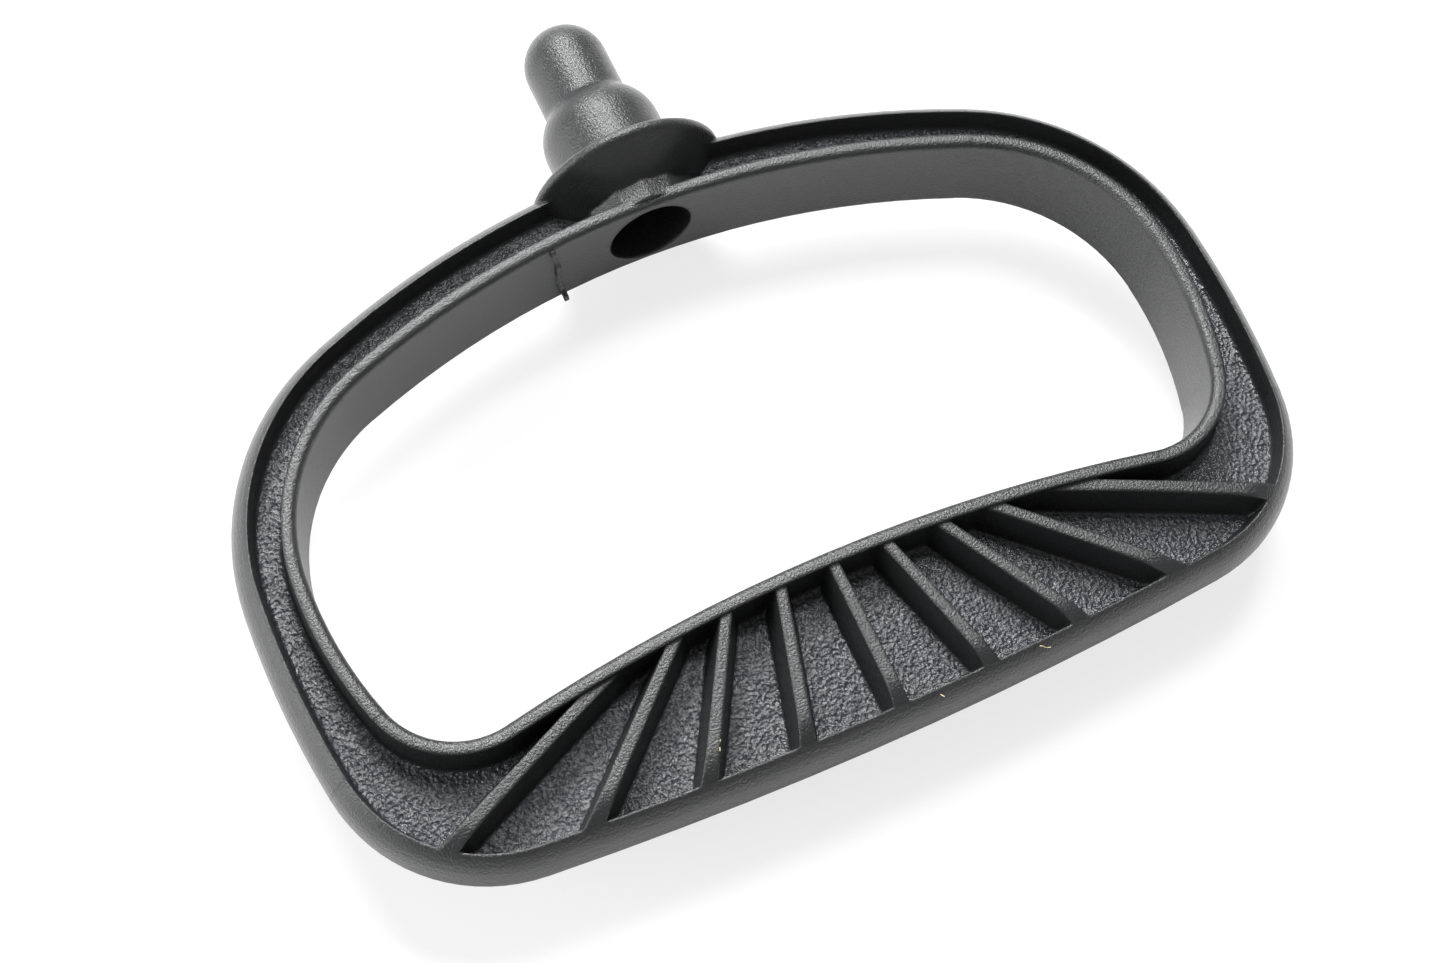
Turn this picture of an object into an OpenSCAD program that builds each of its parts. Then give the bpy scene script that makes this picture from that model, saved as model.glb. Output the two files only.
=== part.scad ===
// Recoil starter handle: one moulded piece, a closed hand loop with a rope stem.
// Millimetres. The rope runs along +Y through the stem, the loop lies in the XY plane,
// and both faces are alike about the parting plane at Z = 0.

/* [Loop outline] */

// Half of the overall width, at the widest place of the sides
loop_half_width = 70; // [62:0.5:78]

// Height of the bow's outer surface above the origin, at the stem
bow_top = 44; // [42:0.5:47]

// Depth of the grip's outer surface below the origin
grip_bottom = 44.5; // [42:0.5:48]

// Height of the widest place of the sides above the origin
widest_y = -2.9; // [-5:0.1:0]

// Radius of the long bow
bow_radius = 122.5; // [112:0.5:134]

// Radius of the shoulders between bow and sides
shoulder_radius = 35.2; // [32:0.2:38]

// Radius of the sides
side_radius = 131; // [115:1:150]

// Radius of the lower corners
corner_radius = 22.8; // [20:0.2:25]

// Radius of the grip's shallow outer curve
grip_radius = 558; // [400:2:800]

/* [Walls] */

// Overall thickness, face to face
thickness = 15; // [14:0.2:16]

// Thickness of the mid-plane web that closes the channel
web_thickness = 3; // [2:0.2:4]

// Outer wall, at the crisp edge of the channel
outer_wall = 2.7; // [2.4:0.1:3.2]

// Radius of the outer wall's full-round edge
edge_radius = 6.6; // [6:0.1:7.2]

// Inner wall round the hand opening
inner_wall = 1.9; // [1.7:0.1:2.4]

// Rounding of the inner wall towards the hand
hand_round = 1; // [0.6:0.1:1.4]

// Rounding where a wall meets the web
foot_round = 1; // [0.6:0.1:1.4]

// Rounding where a rib meets the web
rib_foot = 0.7; // [0.5:0.1:0.9]

// Draft of the channel faces, in millimetres over their depth
wall_draft = 0.4; // [0.2:0.1:0.8]

/* [Channel] */

// Channel width at the bow
bow_channel = 5.65; // [5:0.05:6.4]

// Channel width at the sides
side_channel = 4.3; // [3.8:0.1:5]

// Depth of the ribbed grip, from wall to wall
grip_channel = 19.5; // [17:0.5:22]

// Radius of the channel's inner curve at the bow
inner_bow_radius = 123.2; // [114:0.4:132]

// Radius of the channel's inner curve at the shoulders
inner_shoulder_radius = 27.9; // [25:0.1:30]

// Radius of the channel's inner curve at the sides
inner_side_radius = 56.3; // [50:0.1:64]

// Height of the channel's inner widest place above the origin
inner_widest_y = -0.5; // [-2:0.1:1.5]

// Radius of the channel's inner curve at the lower corners
inner_corner_radius = 13; // [11:0.2:15]

// Radius of the grip's raised palm curve
palm_radius = 232; // [190:2:300]

/* [Grip ribs] */

// Width of a rib at its rounded top
rib_width = 1.7; // [1.4:0.1:2.4]

// Widening of a rib towards the web, on each side
rib_draft = 0.8; // [0.4:0.1:1.2]

// Distance of the first rib pair from the middle rib
rib_pitch = 7.5; // [7:0.1:8]

// Lean of the first rib pair
rib_lean_1 = 15.6; // [13:0.2:17]

// Lean of the second rib pair
rib_lean_2 = 30.2; // [27:0.2:33]

// Lean of the third rib pair
rib_lean_3 = 47.1; // [44:0.1:50]

// Lean of the corner ribs
rib_lean_4 = 65.5; // [62:0.5:68]

// Start of the third rib pair below the palm curve's top
rib_sink = 1; // [0:0.2:2]

// Depth behind the outer surface from which the rib tops fall towards the edge
rib_fall = 34; // [30:1:44]

// Start of the corner ribs, across
corner_rib_x = 34.9; // [33.5:0.1:36]

// Start of the corner ribs, height above the origin
corner_rib_y = -25.5; // [-26.5:0.1:-24.5]

/* [Rope stem] */

// Radius of the stem's nose
nose_radius = 6.1; // [5.6:0.1:6.8]

// Height of the stem's tip above the origin
tip_y = 69; // [66:0.5:74]

// Radius of the bulge that houses the knot
bulge_radius = 8.6; // [8.2:0.1:9.4]

// Height where the bulge is full
bulge_y = 50; // [49:0.2:51]

// Rounding of the bulge towards the nose
bulge_round = 7; // [6:0.2:8]

// Fillet between bulge and nose
nose_fillet = 1.8; // [1:0.2:2.4]

// Radius of the saucer-shaped flange
flange_radius = 14.2; // [13.2:0.2:15]

// Height of the flange's rim above the origin
flange_y = 42; // [41:0.2:43]

// Thickness of the flange's rim
flange_rim = 1.8; // [1.4:0.2:2.6]

// Depth of the flange's underside, from rim to root
flange_depth = 4.4; // [3.6:0.2:5.2]

// Radius of the flange's root, where the underside leaves the boss
flange_root = 8; // [7.6:0.2:8.4]

// Fillet between flange and bulge
flange_fillet = 1.8; // [1:0.2:2.4]

/* [Rope passage] */

// Radius of the rope bore
rope_radius = 3.1; // [2.6:0.1:3.6]

// Radius of the knot pocket
knot_radius = 6.1; // [5.6:0.1:6.4]

// Height of the knot pocket's closed end
knot_end_y = 47; // [45:0.5:48]

// Height of the knot seat's cone
knot_seat = 3; // [2:0.2:4]

// Ridge of the boss above the parting plane
boss_ridge = 8.1; // [7.8:0.1:8.4]

// Fall of the boss's two top facets
boss_fall = 0.9; // [0.6:0.1:1.2]

// Width of each top facet
boss_facet = 3.8; // [3.2:0.1:4.4]

// Half width of the boss at the web
boss_half_width = 8.2; // [8:0.1:9]

// Draft of the boss's sides, in millimetres up to half its height
boss_draft = 0.9; // [0.4:0.1:1]

/* [Hidden] */

plastic = [0.2, 0.2, 0.2];
half = thickness / 2;
floor_z = web_thickness / 2;
rib_clearance = 0.05;
rib_drop = 0.2;
joint_lap = 0.5;
joint_scale = 0.99;
sink = 0.05;
rib_stop = outer_wall / 2;
rib_reach = 2 * grip_channel;
rib_root = 6;
grip_turn = 3;
corner_turn = 90;
rim_turn = 60;
overlap = 1;
smooth = 96;

// Point at distance ra from a and rb from b, on the right-hand side
function meet(a, ra, b, rb) =
    let (d = norm(b - a), u = (b - a) / d)
    let (along = (ra * ra - rb * rb + d * d) / (2 * d))
    let (h = sqrt(ra * ra - along * along))
    let (n = u[1] > 0 ? [u[1], -u[0]] : [-u[1], u[0]])
    a + u * along + n * h;

function heading(v) = atan2(v[1], v[0]);

// Five tangent arcs from the top of the bow to the middle of the grip.
// palm is 1 where the last arc is centred below it, as on the hand side.
function outline(top, r1, r2, x3, y3, r3, r4, bottom, r5, palm) =
    let (c1 = [0, top - r1], c3 = [x3 - r3, y3])
    let (c2 = meet(c1, r1 - r2, c3, r3 - r2))
    let (c5 = [0, palm ? bottom - r5 : bottom + r5])
    let (c4 = meet(c3, r3 - r4, c5, palm ? r5 + r4 : r5 - r4))
    let (a12 = heading(c2 - c1), a23 = heading(c2 - c3), a34 = heading(c4 - c3))
    let (a45 = palm ? heading(c5 - c4) : heading(c4 - c5))
    [[c1, r1, a12, 180 - a12],
     [c2, r2, a23, a12],
     [c3, r3, a34, a23],
     [c4, r4, a45, a34],
     palm ? [c5, r5, a45 + 180, -a45] : [c5, r5, -180 - a45, a45]];

outer_line = outline(bow_top, bow_radius, shoulder_radius, loop_half_width, widest_y,
    side_radius, corner_radius, -grip_bottom, grip_radius, false);

palm_y = outer_wall + grip_channel - grip_bottom;
hand_y = bow_top - outer_wall - bow_channel - inner_wall;
rope_exit_y = tip_y - nose_radius + sqrt(nose_radius * nose_radius - rope_radius * rope_radius);
middle_y = (rope_exit_y - grip_bottom) / 2;

channel_inner_line = outline(hand_y + inner_wall,
    inner_bow_radius, inner_shoulder_radius,
    loop_half_width - outer_wall - side_channel, inner_widest_y, inner_side_radius,
    inner_corner_radius, palm_y, palm_radius, true);

function arc_points(c, r, from, to, n) =
    [for (i = [0:n]) c + r * [cos(from + (to - from) * i / n), sin(from + (to - from) * i / n)]];

// Points of the right half of an outline, moved outwards by "out"
function half_points(line, out, palm) = concat(
    arc_points(line[0][0], line[0][1] + out, 90, line[0][2], 6),
    arc_points(line[1][0], line[1][1] + out, line[1][3], line[1][2], 8),
    arc_points(line[2][0], line[2][1] + out, line[2][3], line[2][2], 6),
    arc_points(line[3][0], line[3][1] + out, line[3][3], line[3][2], 8),
    palm
        ? arc_points(line[4][0], line[4][1] - out, line[4][2], 90, 5)
        : arc_points(line[4][0], line[4][1] + out, line[4][3], -90, 5));

function ring_points(line, out, palm) =
    let (p = half_points(line, out, palm), n = len(p))
    concat(p, [for (i = [n - 2:-1:1]) [-p[i][0], p[i][1]]]);

// One section carried along one arc
module arc_run(seg, flip = false) {
    translate([seg[0][0], seg[0][1], 0])
        rotate([0, 0, seg[2]])
            rotate_extrude(angle = seg[3] - seg[2], $fn = smooth)
                translate([seg[1], 0])
                    mirror([flip ? 1 : 0, 0])
                        children();
}

// The same arc lapped into its neighbours at both ends, its section a hair smaller
module lapped_run(seg, middle) {
    lap = joint_lap / seg[1] * 180 / PI;
    arc_run([seg[0], seg[1], seg[2] - lap, seg[3] + lap])
        translate([middle, 0])
            scale(joint_scale)
                translate([-middle, 0])
                    children();
}

// One section carried round the whole outline
module run_round(line, palm, middle) {
    arc_run(line[0]) children();
    arc_run(line[4], palm) children();
    for (side = [0, 1])
        mirror([side, 0, 0]) {
            lapped_run(line[1], middle) children();
            arc_run(line[2]) children();
            lapped_run(line[3], middle) children();
        }
}

function flip_z(p) = [for (i = [len(p) - 1:-1:0]) [p[i][0], -p[i][1]]];

// Concave rounding from a little below the web's face up into a drafted face
function foot_curve(draft, r, deep) =
    arc_points([-r - draft, floor_z + r - deep], r, 360, 270, 4);

// Outer wall: channel face on the left, full-round edge on the right
module outer_section() {
    rim_angle = acos((edge_radius - outer_wall) / edge_radius);
    edge = arc_points([-edge_radius, 0], edge_radius, 0, rim_angle, 6);
    upper = concat(edge, [for (p = foot_curve(wall_draft, foot_round, sink)) [p[0] - outer_wall, p[1]]]);
    lower = flip_z(upper);
    polygon(concat(upper, [for (i = [0:len(lower) - 2]) lower[i]]));
}

// Inner wall: channel face on the right, rounded towards the hand on the left
module inner_section() {
    round_c = [hand_round - inner_wall, half - hand_round];
    foot = [for (p = foot_curve(wall_draft, foot_round, sink)) [-p[0], p[1]]];
    upper = concat(arc_points(round_c, hand_round, 180, 90, 5), [[0, half]], foot);
    polygon(concat(upper, flip_z(upper)));
}

// Flat ring that ends inside both walls
module channel_ring(height) {
    linear_extrude(height = height, center = true)
        difference() {
            polygon(ring_points(outer_line, -outer_wall / 2, false));
            polygon(ring_points(channel_inner_line, -inner_wall / 2, true));
        }
}

// Rib section with a round top on both faces
module rib_section() {
    r = rib_width / 2;
    top = half - rib_drop;
    for (s = [-1, 1])
        translate([0, s * (top - r)])
            circle(r = r, $fn = 48);
    right = concat([[r, top - r]], [for (p = foot_curve(rib_draft, rib_foot, 2 * sink)) [r - p[0], p[1]]]);
    left = [for (i = [len(right) - 1:-1:0]) [-right[i][0], right[i][1]]];
    polygon(concat(left, right, flip_z(right), flip_z(left)));
}

// Starts above the inner wall and runs on past the outer wall
module rib(x, y, lean) {
    translate([x, y, 0])
        rotate([0, 0, lean])
            rotate([90, 0, 0])
                translate([0, 0, -rib_root])
                    linear_extrude(height = rib_root + rib_reach)
                        rib_section();
}

// Middle rib and three pairs, fanned out from the palm wall
module palm_ribs() {
    rib(0, palm_y, 0);
    for (side = [0, 1])
        mirror([side, 0, 0]) {
            rib(rib_pitch, palm_y, rib_lean_1);
            rib(2 * rib_pitch, palm_y, rib_lean_2);
            rib(3 * rib_pitch, palm_y - rib_sink, rib_lean_3);
        }
}

// Room for the ribs, along one arc of the outer line: their tops fall from full
// height, "depth" behind the outer surface, into the full-round edge
module rib_room(seg, depth) {
    r = edge_radius - rib_clearance;
    from = acos((edge_radius - rib_stop) / r);
    back = [edge_radius - depth, half];
    to = heading(back) - acos(r / norm(back));
    upper = concat(arc_points([-edge_radius, 0], r, from, to, 8), [[-depth, half]]);
    arc_run(seg)
        polygon(concat(upper, flip_z(upper)));
}

module grip_ribs() {
    grip_arc = outer_line[4];
    corner_arc = outer_line[3];
    intersection() {
        palm_ribs();
        rib_room([grip_arc[0], grip_arc[1], grip_arc[2] - grip_turn, grip_arc[3] + grip_turn], rib_fall);
        channel_ring(thickness + 2 * overlap);
    }
    for (side = [0, 1])
        mirror([side, 0, 0])
            intersection() {
                rib(corner_rib_x, corner_rib_y, rib_lean_4);
                rib_room([corner_arc[0], corner_arc[1], corner_arc[2] - corner_turn, corner_arc[3]],
                    corner_arc[1] - overlap);
                channel_ring(thickness + 2 * overlap);
            }
}

// Rounded stem with bulge, flange and underside, as one turned outline
module stem() {
    nose_c = tip_y - nose_radius;
    bulge_c = bulge_radius - bulge_round;
    fillet_x = nose_radius + nose_fillet;
    fillet_y = bulge_y + sqrt((bulge_round + nose_fillet) * (bulge_round + nose_fillet)
        - (fillet_x - bulge_c) * (fillet_x - bulge_c));
    meet_a = atan2(fillet_y - bulge_y, fillet_x - bulge_c);
    rim = flange_rim / 2;
    flange_top = flange_y + rim;
    rotate([-90, 0, 0])
        rotate_extrude($fn = smooth)
            polygon(concat(
                [[0, flange_y - flange_depth], [flange_root, flange_y - flange_depth]],
                arc_points([flange_radius - rim, flange_y], rim, -rim_turn, 90, 6),
                arc_points([bulge_radius + flange_fillet, flange_top + flange_fillet], flange_fillet, 270, 180, 4),
                arc_points([bulge_c, bulge_y], bulge_round, 0, meet_a, 8),
                arc_points([fillet_x, fillet_y], nose_fillet, meet_a + 180, 180, 4),
                arc_points([0, nose_c], nose_radius, 0, 90, 12)));
}

// Roof-shaped boss round the knot pocket, between inner wall and flange
module knot_boss() {
    from_y = hand_y + inner_wall / 2;
    side = boss_half_width - boss_draft;
    shoulder = boss_ridge - boss_fall;
    roof = [[-boss_half_width, 0], [-side, boss_ridge / 2], [-boss_facet, shoulder],
        [0, boss_ridge], [boss_facet, shoulder], [side, boss_ridge / 2]];
    translate([0, from_y, 0])
        rotate([-90, 0, 0])
            linear_extrude(height = flange_y - from_y)
                polygon(concat(roof, [for (p = roof) [-p[0], -p[1]]]));
}

module rope_passage() {
    rotate([-90, 0, 0]) {
        translate([0, 0, hand_y - overlap])
            cylinder(r = knot_radius, h = knot_end_y - hand_y + overlap, $fn = smooth);
        translate([0, 0, knot_end_y])
            cylinder(r1 = knot_radius, r2 = rope_radius, h = knot_seat, $fn = smooth);
        translate([0, 0, knot_end_y])
            cylinder(r = rope_radius, h = tip_y + overlap - knot_end_y, $fn = smooth);
    }
}

// The loop's middle moves so that the origin is the centre of the whole handle
module starter_handle() {
    color(plastic)
        translate([0, -middle_y, 0])
        difference() {
            union() {
                run_round(outer_line, false, -outer_wall / 2) outer_section();
                grip_ribs();
                run_round(channel_inner_line, true, -inner_wall / 2) inner_section();
                channel_ring(web_thickness);
                knot_boss();
                stem();
            }
            rope_passage();
        }
}

starter_handle();
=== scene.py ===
# %% [markdown]
# The object is the pull handle of a recoil starter, moulded in one shot of black glass-filled nylon.
# Its solid already has the true shape, so this lesson leaves that mesh alone and spends its effort on
# the surface: spark-eroded grain on the channel floors, finer grain on the walls, and softened rims.
# Two small things are modelled as new pieces: the thin line of flash that the mould left inside the
# bow, and three fibres of lint on the grip.

# %% Load the frame
import math

import bpy
from mathutils import Matrix, Vector


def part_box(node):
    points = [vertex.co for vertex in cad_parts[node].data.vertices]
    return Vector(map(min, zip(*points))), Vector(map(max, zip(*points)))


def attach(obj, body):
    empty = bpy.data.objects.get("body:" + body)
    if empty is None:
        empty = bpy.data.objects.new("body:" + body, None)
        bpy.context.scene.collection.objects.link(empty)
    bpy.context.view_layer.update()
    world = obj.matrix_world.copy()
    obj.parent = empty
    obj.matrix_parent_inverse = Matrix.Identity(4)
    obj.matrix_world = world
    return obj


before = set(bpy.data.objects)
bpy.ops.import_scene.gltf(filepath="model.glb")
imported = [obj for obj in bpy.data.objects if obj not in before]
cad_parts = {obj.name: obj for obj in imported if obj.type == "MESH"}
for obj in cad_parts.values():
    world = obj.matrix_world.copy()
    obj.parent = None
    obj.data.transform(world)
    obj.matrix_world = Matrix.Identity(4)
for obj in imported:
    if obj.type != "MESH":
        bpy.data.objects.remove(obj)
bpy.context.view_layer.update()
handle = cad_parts["starter_handle"]
low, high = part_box("starter_handle")
MM = 0.001
print("handle box in mm:", [round(v / MM, 1) for v in (high - low)])

# %% [markdown]
# The handle was moulded in one go, so its scene has few names to keep apart. These helpers turn
# colours from the hex values a designer writes into the linear values a shader needs, and add a
# shader node with its settings and links in one call, so that each material below reads as a recipe.

# %% Colour and node helpers
def linear(hex_colour):
    """An sRGB hex colour as linear RGBA."""
    parts = [int(hex_colour[i:i + 2], 16) / 255 for i in (1, 3, 5)]
    return [c / 12.92 if c <= 0.04045 else ((c + 0.055) / 1.055) ** 2.4 for c in parts] + [1.0]


def add_node(tree, kind, settings=None, **inputs):
    """Adds a node. settings are its properties, inputs are values or output sockets by input name."""
    node = tree.nodes.new(kind)
    for name, value in (settings or {}).items():
        setattr(node, name, value)
    for name, value in inputs.items():
        socket = node.inputs[int(name[1:])] if name[0] == "i" and name[1:].isdigit() else node.inputs[name]
        if isinstance(value, bpy.types.NodeSocket):
            tree.links.new(value, socket)
        else:
            socket.default_value = value
    return node


def new_material(name):
    """An empty material and its node tree."""
    material = bpy.data.materials.new(name)
    material.use_nodes = True
    material.node_tree.nodes.clear()
    return material, material.node_tree


# %% [markdown]
# Glass-filled nylon comes out of the mould with the skin of the steel. The channel floors were spark
# eroded: pits and bumps about half a millimetre across that glint. The walls, ribs and stem were only
# stoned, which leaves a satin face with a much finer grain. Both live in one material, and the
# height above the parting plane and the way the face points tell them apart, because the floors
# are the only faces that look straight out of the handle below the rims. A Bevel node rounds the hard
# edges in the shading alone, the way a moulded edge is never quite sharp, and moves no vertex.

# %% Sizes of the finish
# The stoned grain is really about 0.1 mm, and is drawn coarser so that it shows at this distance.
FLOOR_TOP = 2.2 * MM
FLOOR_FADE = 0.8 * MM
FLOOR_GRAIN = 0.55 * MM
FLOOR_GRAIN_DEPTH = 0.32 * MM
PIT_SHARE = 0.7
WALL_GRAIN = 0.3 * MM
WALL_GRAIN_DEPTH = 0.13 * MM
EDGE_RADIUS = 0.7 * MM
FLOW_MARK = 22 * MM
NYLON_IOR = 1.53
SATIN_ROUGHNESS = (0.32, 0.44)
FLOOR_ROUGHNESS = 0.22
print("grain of the floors and walls in mm:", round(FLOOR_GRAIN / MM, 2), round(WALL_GRAIN / MM, 2))


# %% Moulded nylon, grained floors and satin walls
def glass_filled_nylon():
    """Black nylon as moulded: satin walls, and glossier floors with coarser grain, whose paler, cooler
    colour is partly their eroded finish and partly painted sheen.
    """
    material, tree = new_material("glass_filled_nylon_moulded_black")
    place = add_node(tree, "ShaderNodeTexCoord").outputs["Object"]
    position = add_node(tree, "ShaderNodeSeparateXYZ", Vector=place)
    facing = add_node(tree, "ShaderNodeNewGeometry").outputs["True Normal"]
    normal = add_node(tree, "ShaderNodeSeparateXYZ", Vector=facing)
    height = add_node(tree, "ShaderNodeMath", {"operation": "ABSOLUTE"}, i0=position.outputs["Z"]).outputs[0]
    outward = add_node(tree, "ShaderNodeMath", {"operation": "ABSOLUTE"}, i0=normal.outputs["Z"]).outputs[0]

    low_down = add_node(tree, "ShaderNodeMapRange", {"interpolation_type": "SMOOTHSTEP"}, Value=height)
    low_down.inputs["From Min"].default_value = FLOOR_TOP
    low_down.inputs["From Max"].default_value = FLOOR_TOP + FLOOR_FADE
    low_down.inputs["To Min"].default_value = 1.0
    low_down.inputs["To Max"].default_value = 0.0
    flat = add_node(tree, "ShaderNodeMapRange", {"interpolation_type": "SMOOTHSTEP"}, Value=outward)
    flat.inputs["From Min"].default_value = 0.55
    flat.inputs["From Max"].default_value = 0.9
    floor = add_node(tree, "ShaderNodeMath", {"operation": "MULTIPLY"},
                     i0=low_down.outputs[0], i1=flat.outputs[0]).outputs[0]

    pits = add_node(tree, "ShaderNodeTexVoronoi", {"feature": "SMOOTH_F1"},
                    Vector=place, Scale=1 / FLOOR_GRAIN, Smoothness=0.35).outputs["Distance"]
    leather = add_node(tree, "ShaderNodeTexNoise",
                       Vector=place, Scale=1 / FLOOR_GRAIN, Detail=3.0, Roughness=0.6).outputs["Fac"]
    eroded = add_node(tree, "ShaderNodeMath", {"operation": "MULTIPLY_ADD"},
                      i0=pits, i1=PIT_SHARE, i2=leather).outputs[0]
    stoned = add_node(tree, "ShaderNodeTexNoise",
                      Vector=place, Scale=1 / WALL_GRAIN, Detail=2.0, Roughness=0.55).outputs["Fac"]
    flow = add_node(tree, "ShaderNodeTexNoise",
                    Vector=place, Scale=1 / FLOW_MARK, Detail=2.0, Roughness=0.5).outputs["Fac"]

    grain = add_node(tree, "ShaderNodeMix", {"data_type": "FLOAT"},
                     Factor=floor, i2=stoned, i3=eroded).outputs[0]
    depth = add_node(tree, "ShaderNodeMapRange", Value=floor)
    depth.inputs["To Min"].default_value = WALL_GRAIN_DEPTH
    depth.inputs["To Max"].default_value = FLOOR_GRAIN_DEPTH
    soft_edge = add_node(tree, "ShaderNodeBevel", {"samples": 8}, Radius=EDGE_RADIUS).outputs[0]
    bump = add_node(tree, "ShaderNodeBump",
                    Strength=1.0, Distance=depth.outputs[0], Height=grain, Normal=soft_edge)

    tone = add_node(tree, "ShaderNodeMix", {"data_type": "RGBA"}, Factor=flow)
    tone.inputs[6].default_value = linear("#161718")
    tone.inputs[7].default_value = linear("#1C1D1E")
    # Painted sheen: the floors get a paler, cooler colour, partly their own eroded finish and partly
    # standing in for the light the up-facing floors catch.
    floor_tone_and_sheen = add_node(tree, "ShaderNodeMix", {"data_type": "RGBA"}, Factor=floor)
    tree.links.new(tone.outputs[2], floor_tone_and_sheen.inputs[6])
    floor_tone_and_sheen.inputs[7].default_value = linear("#26282B")
    satin = add_node(tree, "ShaderNodeMapRange", Value=stoned)
    satin.inputs["To Min"].default_value = SATIN_ROUGHNESS[0]
    satin.inputs["To Max"].default_value = SATIN_ROUGHNESS[1]
    rough = add_node(tree, "ShaderNodeMix", {"data_type": "FLOAT"},
                     Factor=floor, i2=satin.outputs[0], i3=FLOOR_ROUGHNESS)

    nylon = add_node(tree, "ShaderNodeBsdfPrincipled", Metallic=0.0, IOR=NYLON_IOR)
    tree.links.new(floor_tone_and_sheen.outputs[2], nylon.inputs["Base Color"])
    tree.links.new(rough.outputs[0], nylon.inputs["Roughness"])
    tree.links.new(bump.outputs[0], nylon.inputs["Normal"])
    add_node(tree, "ShaderNodeOutputMaterial", Surface=nylon.outputs[0])
    return material


handle.data.materials.clear()
handle.data.materials.append(glass_filled_nylon())
print("materials on the handle:", [m.name for m in handle.data.materials])

# %% [markdown]
# Where the two mould halves and a core insert meet, a hair of plastic creeps into the gap. On this
# handle it stands on the hand side of the bow, left of the knot hole: a ragged fin that crosses the
# wall from rim to rim and ends in a tiny nub. It is modelled as a real strip: a plane is divided along
# its length, its free edge is pushed about by two sine waves, which look ragged where they overlap,
# its lower end is pulled out into the nub, and Solidify gives it a thickness.

# %% Where the flash stands
FLASH_X = -14.2 * MM
FLASH_SPAN = 13.6 * MM
FLASH_THICK = 0.7 * MM
FLASH_HEIGHT = 0.6 * MM
FLASH_SLANT = -0.1
FLASH_CUTS = 40
NUB_HEIGHT = 1.1 * MM
NUB_FROM = -5.2 * MM


def hand_surface_y(x):
    """Y of the bow's hand side at x, from a ray sent from the middle of the opening to the bow."""
    hit, spot, *_ = handle.ray_cast(Vector((x, 0.0, 1 * MM)), Vector((0, 1, 0)))
    return spot.y


print("hand surface at the flash, mm:", round(hand_surface_y(FLASH_X) / MM, 2))


# %% The flash line
def flash_line():
    """A ragged fin across the bow's inner wall, with a nub at its lower end."""
    bpy.ops.object.select_all(action="DESELECT")
    root = hand_surface_y(FLASH_X)
    bpy.ops.mesh.primitive_plane_add(size=1, location=(FLASH_X, root, 0), rotation=(0, math.pi / 2, 0))
    fin = bpy.context.object
    fin.name = "flash_line"
    fin.scale = (FLASH_SPAN, FLASH_HEIGHT, 1)
    bpy.ops.object.transform_apply(location=True, rotation=True, scale=True)
    bpy.ops.object.mode_set(mode="EDIT")
    bpy.ops.mesh.select_all(action="SELECT")
    bpy.ops.mesh.subdivide(number_cuts=FLASH_CUTS)
    bpy.ops.object.mode_set(mode="OBJECT")
    for v in fin.data.vertices:
        ragged = 0.6 + 0.3 * math.sin(v.co.z / (0.8 * MM)) + 0.25 * math.sin(v.co.z / (0.31 * MM) + 1.0)
        tall = NUB_HEIGHT if v.co.z < NUB_FROM else FLASH_HEIGHT * ragged
        if v.co.y < root:
            v.co.y = root - tall * (root - v.co.y) / (FLASH_HEIGHT / 2)
        v.co.x += 0.16 * MM * math.sin(v.co.z / (1.3 * MM)) + FLASH_SLANT * v.co.z
    thick = fin.modifiers.new("thickness", "SOLIDIFY")
    thick.thickness = FLASH_THICK
    thick.offset = 0
    bpy.ops.object.modifier_apply(modifier="thickness")
    fin.data.materials.append(handle.data.materials[0])
    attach(fin, "root")
    return fin


flash = flash_line()
print("flash triangles:", sum(len(p.vertices) - 2 for p in flash.data.polygons))

# %% [markdown]
# The photograph looks down at the handle from above its grip, a little from the left, and the picture
# is tilted, the way a small product is shot on a table. The camera's place and turn were worked out
# from the handle's own outline, so they are written as a point in the handle's frame and three
# directions. It stands a little over a quarter of a metre off, so the near parts look a bit larger.

# %% Camera
PHOTO_WIDTH = 1445
FOCAL_PIXELS = 2046
SENSOR = 36.0
CAMERA_PLACE = Vector((-65.14, -102.82, 247.95)) * MM
CAMERA_AXES = Matrix(((0.9045, 0.3668, -0.2175), (-0.4213, 0.8474, -0.3231), (0.0658, 0.3839, 0.921)))


def photo_camera():
    """A camera at the photograph's angle."""
    data = bpy.data.cameras.new("photo_camera")
    data.sensor_width = SENSOR
    data.lens = FOCAL_PIXELS * SENSOR / PHOTO_WIDTH
    data.clip_start = 0.01
    camera = bpy.data.objects.new("photo_camera", data)
    bpy.context.scene.collection.objects.link(camera)
    camera.matrix_world = Matrix.Translation(CAMERA_PLACE) @ CAMERA_AXES.to_quaternion().to_matrix().to_4x4()
    bpy.context.scene.camera = camera
    return camera


camera = photo_camera()
print("lens in mm:", round(camera.data.lens, 2))

# %% [markdown]
# A used or handled moulding picks up lint. The photograph shows three pale fibres caught on the
# grip. Each is a thin cylinder, cut along its length and bent by moving its rings, and it is put where
# a ray from the camera meets the plastic.

# %% Lint fibres
FIBRE_PIXELS = {"lint_low": (720, 746), "lint_mid": (940, 693), "lint_high": (1045, 647)}
FIBRE_LENGTH = 1.5 * MM
FIBRE_RADIUS = 0.06 * MM
FIBRE_BEND = 0.3 * MM
FIBRE_RINGS = 10
PHOTO_HEIGHT = 963


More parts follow.
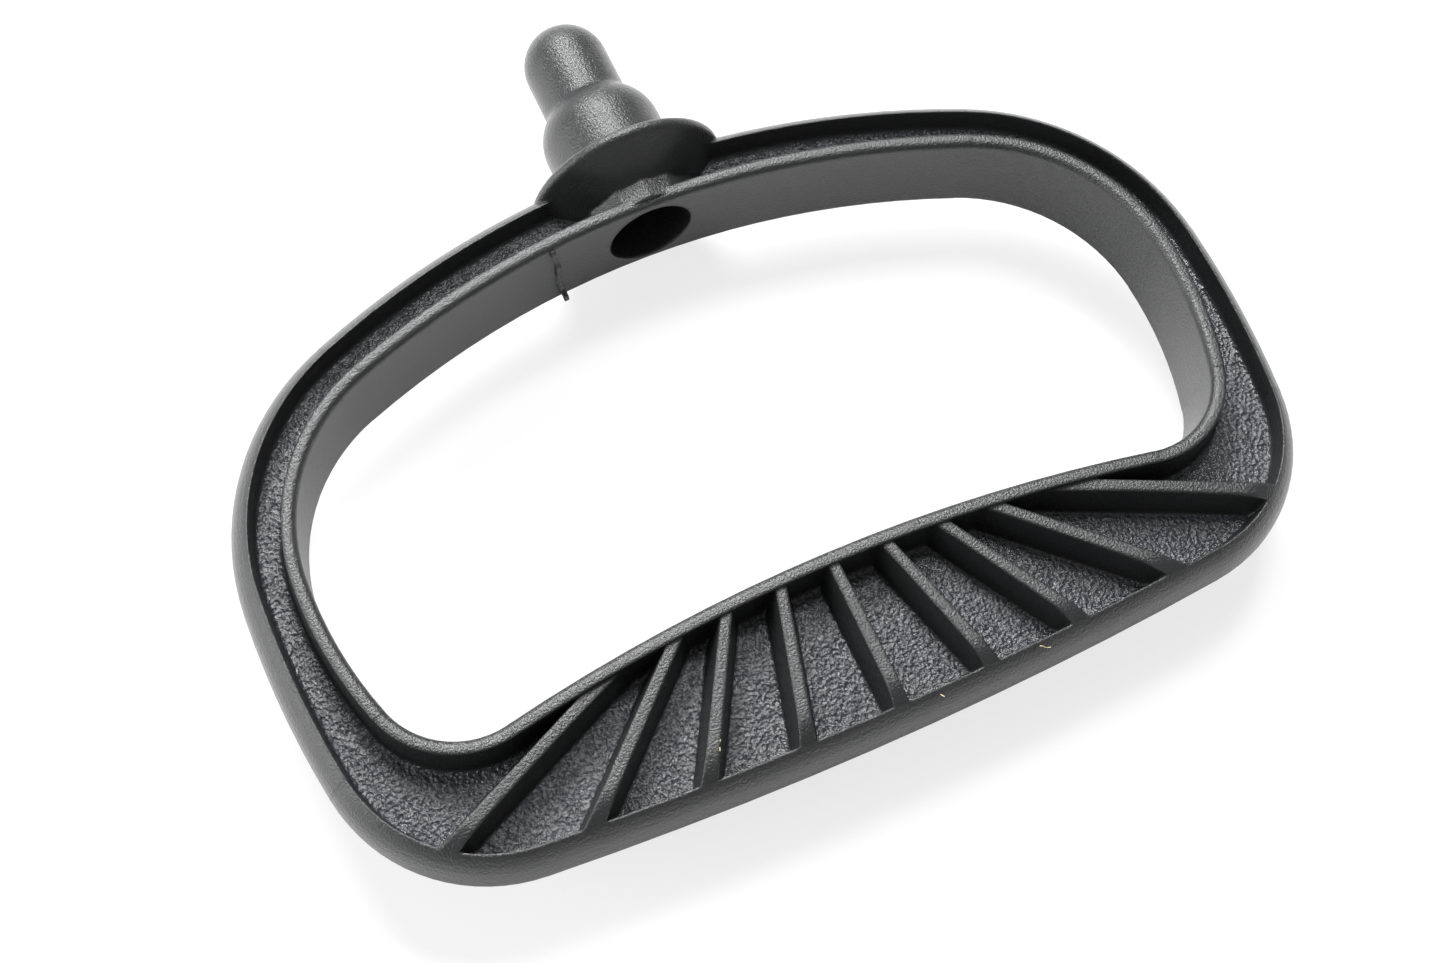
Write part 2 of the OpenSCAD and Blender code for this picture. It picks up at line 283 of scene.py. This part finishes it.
def lint_material():
    """Cotton lint: dull, pale straw, with a soft sheen."""
    material, tree = new_material("cotton_lint_spun")
    place = add_node(tree, "ShaderNodeTexCoord").outputs["Object"]
    twist = add_node(tree, "ShaderNodeTexNoise", Vector=place, Scale=1 / (0.2 * MM)).outputs["Fac"]
    straw = add_node(tree, "ShaderNodeMix", {"data_type": "RGBA"}, Factor=twist)
    straw.inputs[6].default_value = linear("#8E8762")
    straw.inputs[7].default_value = linear("#C9C3A0")
    cotton = add_node(tree, "ShaderNodeBsdfPrincipled", Roughness=0.85, IOR=1.5)
    tree.links.new(straw.outputs[2], cotton.inputs["Base Color"])
    add_node(tree, "ShaderNodeOutputMaterial", Surface=cotton.outputs[0])
    return material


def surface_at(pixel):
    """Where the camera's ray through a pixel of the photograph meets the handle."""
    u, v = pixel
    ray = Vector(((u - PHOTO_WIDTH / 2) / FOCAL_PIXELS, (PHOTO_HEIGHT / 2 - v) / FOCAL_PIXELS, -1))
    hit, spot, *_ = handle.ray_cast(CAMERA_PLACE, (CAMERA_AXES @ ray).normalized())
    return spot


def lint_fibre(name, pixel, turn, material):
    """One bent fibre, its middle just over the plastic."""
    spot = surface_at(pixel)
    bpy.ops.object.select_all(action="DESELECT")
    bpy.ops.mesh.primitive_cylinder_add(vertices=8, radius=FIBRE_RADIUS, depth=FIBRE_LENGTH)
    fibre = bpy.context.object
    fibre.name = name
    bpy.ops.object.mode_set(mode="EDIT")
    for ring in range(1, FIBRE_RINGS):
        bpy.ops.mesh.select_all(action="SELECT")
        cut = FIBRE_LENGTH * (ring / FIBRE_RINGS - 0.5)
        bpy.ops.mesh.bisect(plane_co=(0, 0, cut), plane_no=(0, 0, 1))
    bpy.ops.object.mode_set(mode="OBJECT")
    for v in fibre.data.vertices:
        v.co.x += FIBRE_BEND * math.sin(v.co.z / FIBRE_LENGTH * 5 + turn)
    lie_down = Matrix.Rotation(turn, 4, "Z") @ Matrix.Rotation(math.pi / 2, 4, "Y")
    fibre.data.transform(Matrix.Translation(spot + Vector((0, 0, FIBRE_RADIUS * 2))) @ lie_down)
    fibre.data.materials.append(material)
    bpy.ops.object.shade_smooth()
    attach(fibre, "root")
    return fibre


cotton_lint = lint_material()
for turn, (name, pixel) in enumerate(FIBRE_PIXELS.items()):
    fibre = lint_fibre(name, pixel, 1.1 + turn * 0.8, cotton_lint)
    print(name, "at mm:", [round(c / MM, 1) for c in surface_at(pixel)])

# %% [markdown]
# A real handle would lie tilted on a table, resting on its flange and its grip. Here it stays level, as
# its frame is, and a plain pale table stands just under the flange, its lowest part. The camera sees
# the table and the sky as nearly pure white, while the light they throw on the handle is only that of
# a white card and of a soft grey sky, so the black plastic keeps its depth. The Light Path node tells
# a shader whether the camera or the handle is looking.

# %% Table and world
WHITE_TABLE = "#F4F4F4"
TABLE_WIDTH = 6.0
TABLE_GAP = 0.5 * MM
PLAIN_WHITE_SHARE = 0.75
SKY_ON_HANDLE = 0.4
SKY_TO_CAMERA = 1.0


def pale_table():
    """A wide plain floor. What the camera sees of it is mostly plain white, so its shadow stays light."""
    material, tree = new_material("matt_white_card")
    card = add_node(tree, "ShaderNodeBsdfDiffuse", Color=linear(WHITE_TABLE))
    glow = add_node(tree, "ShaderNodeEmission", Color=linear("#FFFFFF"), Strength=1.0)
    path = add_node(tree, "ShaderNodeLightPath")
    share = add_node(tree, "ShaderNodeMath", {"operation": "MULTIPLY"},
                     i0=path.outputs["Is Camera Ray"], i1=PLAIN_WHITE_SHARE)
    seen = add_node(tree, "ShaderNodeMixShader", i0=share.outputs[0], i1=card.outputs[0], i2=glow.outputs[0])
    add_node(tree, "ShaderNodeOutputMaterial", Surface=seen.outputs[0])
    bpy.ops.object.select_all(action="DESELECT")
    bpy.ops.mesh.primitive_plane_add(size=TABLE_WIDTH, location=(0, 0, low.z - TABLE_GAP))
    table = bpy.context.object
    table.name = "table"
    table.data.materials.append(material)
    return table


def white_surroundings():
    """A world that is white to the camera and a soft grey light to the object."""
    world = bpy.data.worlds.new("studio")
    bpy.context.scene.world = world
    world.use_nodes = True
    tree = world.node_tree
    tree.nodes.clear()
    path = add_node(tree, "ShaderNodeLightPath")
    soft = add_node(tree, "ShaderNodeBackground", Color=linear("#FFFFFF"), Strength=SKY_ON_HANDLE)
    white = add_node(tree, "ShaderNodeBackground", Color=linear("#FFFFFF"), Strength=SKY_TO_CAMERA)
    either = add_node(tree, "ShaderNodeMixShader", i0=path.outputs["Is Camera Ray"],
                      i1=soft.outputs[0], i2=white.outputs[0])
    add_node(tree, "ShaderNodeOutputWorld", Surface=either.outputs[0])
    return world


table = pale_table()
world = white_surroundings()
print("table width in m:", round(table.dimensions.x, 1), "and world:", world.name)

# %% [markdown]
# Three soft boxes stand in for the photograph's lamps. A broad one from beyond the bow makes the long
# pale sheen on the stem and on the rib tops, and a weaker one from the left lights the side. A small
# one stands where the channel floors mirror it to the camera, so that their grain sparkles.

# %% Soft boxes
def soft_box(name, place, size, power):
    """A square area lamp that points at the handle's middle."""
    data = bpy.data.lights.new(name, "AREA")
    data.size = size
    data.energy = power
    lamp = bpy.data.objects.new(name, data)
    bpy.context.scene.collection.objects.link(lamp)
    lamp.location = place
    lamp.rotation_euler = (-Vector(place)).to_track_quat("-Z", "Y").to_euler()
    return lamp


soft_box("key_box", (0.02, 0.6, 0.64), 0.34, 14.5)
soft_box("fill_box", (-0.7, 0.12, 0.3), 0.4, 5.0)
soft_box("glint_box", (0.13, 0.2, 0.62), 0.14, 3.6)

# %% [markdown]
# Last come the plain view settings, so that a colour renders about as it is written.

# %% View settings
bpy.context.scene.view_settings.view_transform = "Standard"
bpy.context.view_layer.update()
